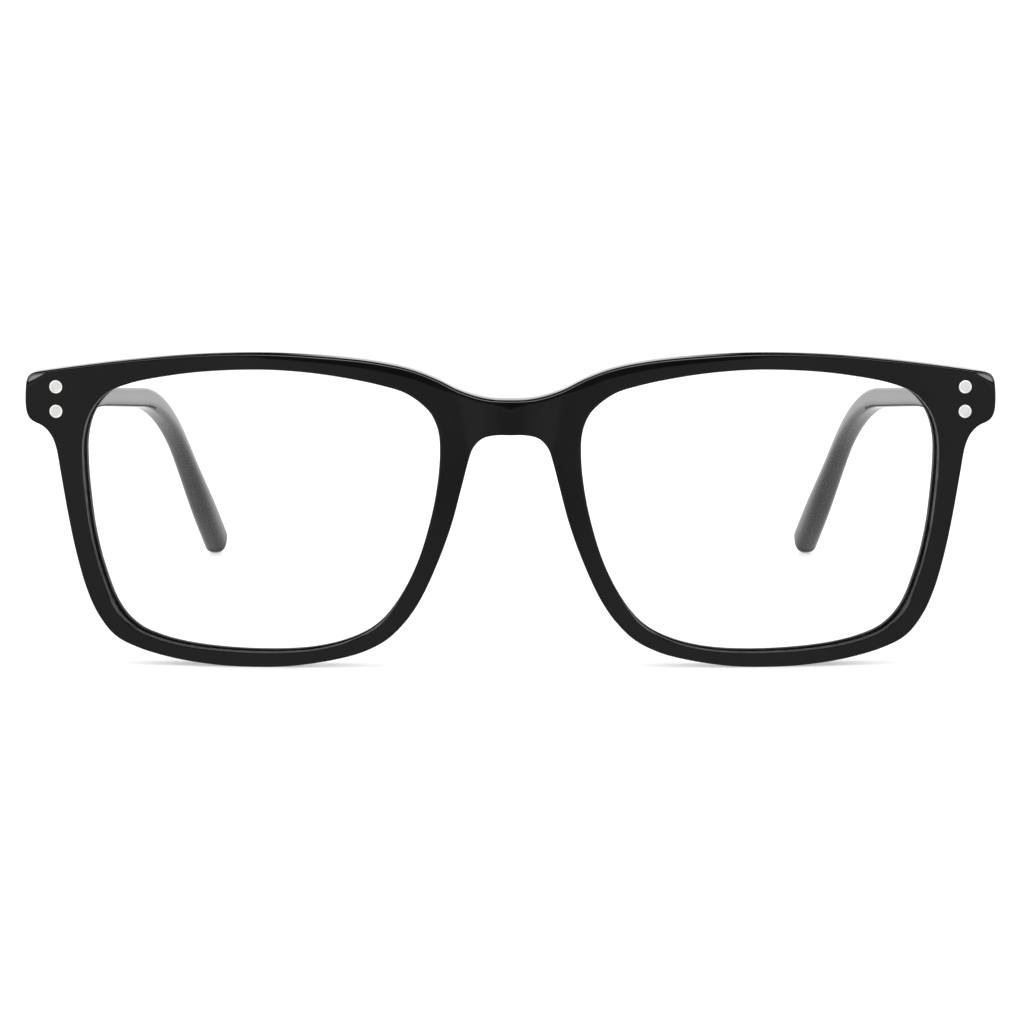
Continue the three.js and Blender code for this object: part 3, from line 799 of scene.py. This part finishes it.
def nickel(name, colour, low, high, metallic=1.0, grain=(1, 1, 1)):
    """A worked metal: fine directional grain in its colour, roughness and surface."""
    material, nodes, links, shader = new_material(name)
    shader.inputs["Metallic"].default_value = metallic
    grainy = noise(nodes, links, 900, 4, 0.6, grain)
    darker = tuple(c * 0.9 for c in colour)
    links.new(tint(nodes, links, grainy, darker, colour), shader.inputs["Base Color"])
    links.new(spread(nodes, links, grainy, low, high), shader.inputs["Roughness"])
    bump(nodes, links, shader, grainy, 0.000006, 0.3)
    return material


# ---- studio ----
FLOOR_SIZE = 6.0


def maths(nodes, links, operation, *values):
    node = nodes.new("ShaderNodeMath")
    node.operation = operation
    for socket, value in zip(node.inputs, values):
        if isinstance(value, (int, float)):
            socket.default_value = value
        else:
            links.new(value, socket)
    return node.outputs["Value"]


def ramp(nodes, links, value, between, levels):
    """Passes smoothly from one level to another while the value passes between two places."""
    node = nodes.new("ShaderNodeMapRange")
    node.interpolation_type = "SMOOTHSTEP"
    node.inputs["From Min"].default_value, node.inputs["From Max"].default_value = between
    node.inputs["To Min"].default_value, node.inputs["To Max"].default_value = levels
    links.new(value, node.inputs["Value"])
    return node.outputs["Result"]


def mirrored_ray(nodes, links):
    """1 for what gloss reflects, and 0 for what is seen directly or through the lenses."""
    path = nodes.new("ShaderNodeLightPath")
    through_lens = maths(nodes, links, "SUBTRACT", 1.0, path.outputs["Is Transmission Ray"])
    return maths(nodes, links, "MULTIPLY", path.outputs["Is Glossy Ray"], through_lens)


# The floor glows, though it is no lamp: seen directly it reads white, glowing more further back, with faint real
# shadows; what gloss reflects in it is painted light, dim ahead of the frame and bright behind it.
def make_floor():
    mesh = bpy.data.meshes.new("floor")
    s = FLOOR_SIZE / 2
    mesh.from_pydata([(-s, -s, 0), (s, -s, 0), (s, s, 0), (-s, s, 0)], [], [(0, 1, 2, 3)])
    floor = bpy.data.objects.new("floor", mesh)
    bpy.context.scene.collection.objects.link(floor)
    material, nodes, links, shader = new_material("pale_floor")
    shader.inputs["Base Color"].default_value = (0.62, 0.62, 0.62, 1)
    shader.inputs["Roughness"].default_value = 0.3
    shader.inputs["Specular IOR Level"].default_value = 0.2
    shader.inputs["Emission Color"].default_value = (1, 1, 1, 1)
    place = nodes.new("ShaderNodeTexCoord")
    parts = nodes.new("ShaderNodeSeparateXYZ")
    links.new(place.outputs["Object"], parts.inputs["Vector"])
    links.new(ramp(nodes, links, parts.outputs["Y"], (0.05, 0.8), (0.4, 0.75)), shader.inputs["Emission Strength"])
    across = maths(nodes, links, "ABSOLUTE", parts.outputs["X"])
    ahead = maths(nodes, links, "MAXIMUM", maths(nodes, links, "SUBTRACT", FRONT_Y * MM, parts.outputs["Y"]), 0.02)
    aside = maths(nodes, links, "DIVIDE", across, ahead)
    front = ramp(nodes, links, aside, (0.02, 0.28), (0.27, 0.40))
    front = maths(nodes, links, "ADD", front, ramp(nodes, links, across, (0.21, 0.5), (0.0, 0.5)))
    rear = ramp(nodes, links, parts.outputs["Y"], (0.1, 0.3), (0.95, 1.35))
    where = ramp(nodes, links, parts.outputs["Y"], (-0.066, 0.02), (0.0, 1.0))
    level = nodes.new("ShaderNodeMix")
    links.new(where, level.inputs["Factor"])
    links.new(front, level.inputs["A"])
    links.new(rear, level.inputs["B"])
    glow = nodes.new("ShaderNodeEmission")
    links.new(level.outputs["Result"], glow.inputs["Strength"])
    mix = nodes.new("ShaderNodeMixShader")
    links.new(mirrored_ray(nodes, links), mix.inputs["Fac"])
    links.new(shader.outputs["BSDF"], mix.inputs[1])
    links.new(glow.outputs["Emission"], mix.inputs[2])
    links.new(mix.outputs["Shader"], nodes["Material Output"].inputs["Surface"])
    material.cycles.emission_sampling = "NONE"
    mesh.materials.append(material)


def make_world():
    """White all round, but what the gloss reflects is a dim studio: dark above and behind, grey in front."""
    world = bpy.data.worlds.new("studio")
    bpy.context.scene.world = world
    world.use_nodes = True
    nodes, links = world.node_tree.nodes, world.node_tree.links
    background = nodes["Background"]
    background.inputs["Color"].default_value = (1, 1, 1, 1)
    background.inputs["Strength"].default_value = 1.22
    place = nodes.new("ShaderNodeTexCoord")
    parts = nodes.new("ShaderNodeSeparateXYZ")
    links.new(place.outputs["Generated"], parts.inputs["Vector"])
    front = ramp(nodes, links, parts.outputs["Y"], (0.3, -0.6), (0.035, 0.42))
    height = ramp(nodes, links, parts.outputs["Z"], (0.25, 0.6), (1.0, 0.2))
    studio = nodes.new("ShaderNodeBackground")
    links.new(maths(nodes, links, "MULTIPLY", front, height), studio.inputs["Strength"])
    mix = nodes.new("ShaderNodeMixShader")
    links.new(mirrored_ray(nodes, links), mix.inputs["Fac"])
    links.new(background.outputs["Background"], mix.inputs[1])
    links.new(studio.outputs["Background"], mix.inputs[2])
    links.new(mix.outputs["Shader"], nodes["World Output"].inputs["Surface"])


def area_light(name, location, target, size, power):
    data = bpy.data.lights.new(name, "AREA")
    data.shape = "RECTANGLE"
    data.size, data.size_y = size
    data.energy = power
    light = bpy.data.objects.new(name, data)
    light.location = location
    light.rotation_euler = (Vector(target) - Vector(location)).to_track_quat("-Z", "Y").to_euler()
    light.visible_camera = False
    bpy.context.scene.collection.objects.link(light)
    return light


def make_rear_card():
    """A bright card behind the frame that only gloss sees: its middle is tall, and lights the bridge's top."""
    reach, back, bottom, top = 0.14, 0.36, 0.002, 0.13
    mesh = bpy.data.meshes.new("rear_card")
    corners = [(-reach, back, bottom), (reach, back, bottom), (reach, back, top), (-reach, back, top)]
    mesh.from_pydata(corners, [], [(0, 1, 2, 3)])
    card = bpy.data.objects.new("rear_card", mesh)
    bpy.context.scene.collection.objects.link(card)
    material = bpy.data.materials.new("rear_card")
    material.use_nodes = True
    nodes, links = material.node_tree.nodes, material.node_tree.links
    nodes.remove(nodes["Principled BSDF"])
    place = nodes.new("ShaderNodeTexCoord")
    parts = nodes.new("ShaderNodeSeparateXYZ")
    links.new(place.outputs["Object"], parts.inputs["Vector"])
    glow = nodes.new("ShaderNodeEmission")
    middle = ramp(nodes, links, maths(nodes, links, "ABSOLUTE", parts.outputs["X"]), (0.024, 0.05), (1.05, 0.0))
    low = ramp(nodes, links, parts.outputs["Z"], (0.074, 0.086), (1.3, 0.0))
    links.new(maths(nodes, links, "MAXIMUM", middle, low), glow.inputs["Strength"])
    links.new(glow.outputs["Emission"], nodes["Material Output"].inputs["Surface"])
    material.cycles.emission_sampling = "NONE"
    mesh.materials.append(material)
    card.visible_camera = False
    card.visible_diffuse = False
    card.visible_transmission = False
    card.visible_shadow = False


def make_lights():
    for sign in (-1, 1):
        area_light(f"front_softbox_{sign}", (sign * 0.70, -0.60, 0.51), (sign * 0.07, -0.06, 0.04), (0.26, 0.26), 1.3)
        area_light(f"side_softbox_{sign}", (sign * 0.95, -0.1, 0.75), (0, 0, 0.02), (0.5, 0.6), 4)
    strip = area_light("overhead_strip", (0, -0.12, 1.0), (0, -0.07, 0), (1.1, 0.26), 5)
    strip.visible_diffuse = False


# ---- camera ----
CAMERA_ELEVATION = math.radians(7.15)
CAMERA_DISTANCE = 850.0
FOCAL_PIXELS = 5746.0
IMAGE_PIXELS = 1024
AIM = (0.22, FRONT_Y, 23.45)


def make_camera():
    data = bpy.data.cameras.new("camera")
    data.sensor_width = 36
    data.lens = FOCAL_PIXELS / IMAGE_PIXELS * data.sensor_width
    data.clip_start = 0.01
    camera = bpy.data.objects.new("camera", data)
    x, y, z = AIM
    camera.location = Vector((x, y - CAMERA_DISTANCE * math.cos(CAMERA_ELEVATION),
                              z + CAMERA_DISTANCE * math.sin(CAMERA_ELEVATION))) * MM
    camera.rotation_euler = (math.pi / 2 - CAMERA_ELEVATION, 0, 0)
    bpy.context.scene.collection.objects.link(camera)
    bpy.context.scene.camera = camera


# ---- assembly ----
BLACK = acetate()
# rougher and far less reflective than the polished acetate: on the opening's inner walls partly a rough milled finish
# and partly painted shade that keeps them dark; on the temples a darker strip along the lower inner corner
DULLED = acetate("dulled_acetate", (0.35, 0.5), 0.08)
CLEAR = clear_plastic()
HINGE_METAL = nickel("nickel_silver", (0.82, 0.82, 0.79), 0.22, 0.34, grain=(1, 1, 6))
RIVET_RING = nickel("bright_nickel", (0.95, 0.95, 0.94), 0.3, 0.4, metallic=0.35)
RIVET_CORE = nickel("frosted_nickel", (0.72, 0.72, 0.71), 0.4, 0.55, metallic=0.35)
SCREW_METAL = nickel("turned_steel", (0.62, 0.63, 0.64), 0.25, 0.4)


def place(piece, body, slot, materials, *nodes):
    indices = [face.material_index for face in piece.data.polygons]
    piece.data.materials.clear()
    for material in materials:
        piece.data.materials.append(material)
    piece.data.polygons.foreach_set("material_index", [min(i, len(materials) - 1) for i in indices])
    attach(piece, body)
    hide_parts(*nodes)


def place_pair(piece, body, slot, materials, node):
    """Places a left-hand piece and its mirror image. {side} in body and node stands for left and right."""
    stem = piece.name.removesuffix("_left")
    twin = mirrored(piece, f"{stem}_right")
    for side, one in (("left", piece), ("right", twin)):
        place(one, body.format(side=side), slot, materials, node.format(side=side))


make_camera()
make_floor()
make_world()
make_lights()
make_rear_card()
bpy.context.scene.view_settings.view_transform = "Standard"

place(make_front(), "front_assembly", "black_acetate", [BLACK, DULLED], "front")
place_pair(make_lens(), "front_assembly", "clear_lens", [CLEAR], "lens_{side}")
place_pair(make_nose_pad(), "front_assembly", "black_acetate", [BLACK], "nose_pad_{side}")
place_pair(make_front_leaf(), "front_assembly", "nickel_silver", [HINGE_METAL], "front_hinge_leaf_{side}")
place_pair(make_screw(), "front_assembly", "steel", [SCREW_METAL], "hinge_screw_{side}")
place_pair(make_temple(), "{side}_temple", "black_acetate", [BLACK, DULLED], "temple_{side}")
place_pair(make_temple_leaf(), "{side}_temple", "nickel_silver", [HINGE_METAL], "temple_hinge_leaf_{side}")
for rivet, node in rivets():
    body = "front_assembly" if node.startswith("front") else "{side}_temple"
    place_pair(rivet, body, "nickel_silver", [RIVET_RING, RIVET_CORE], node.replace("_left", "_{side}"))
for side in ("left", "right"):
    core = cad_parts[f"core_wire_{side}"]
    core.data.materials.clear()
    core.data.materials.append(SCREW_METAL)
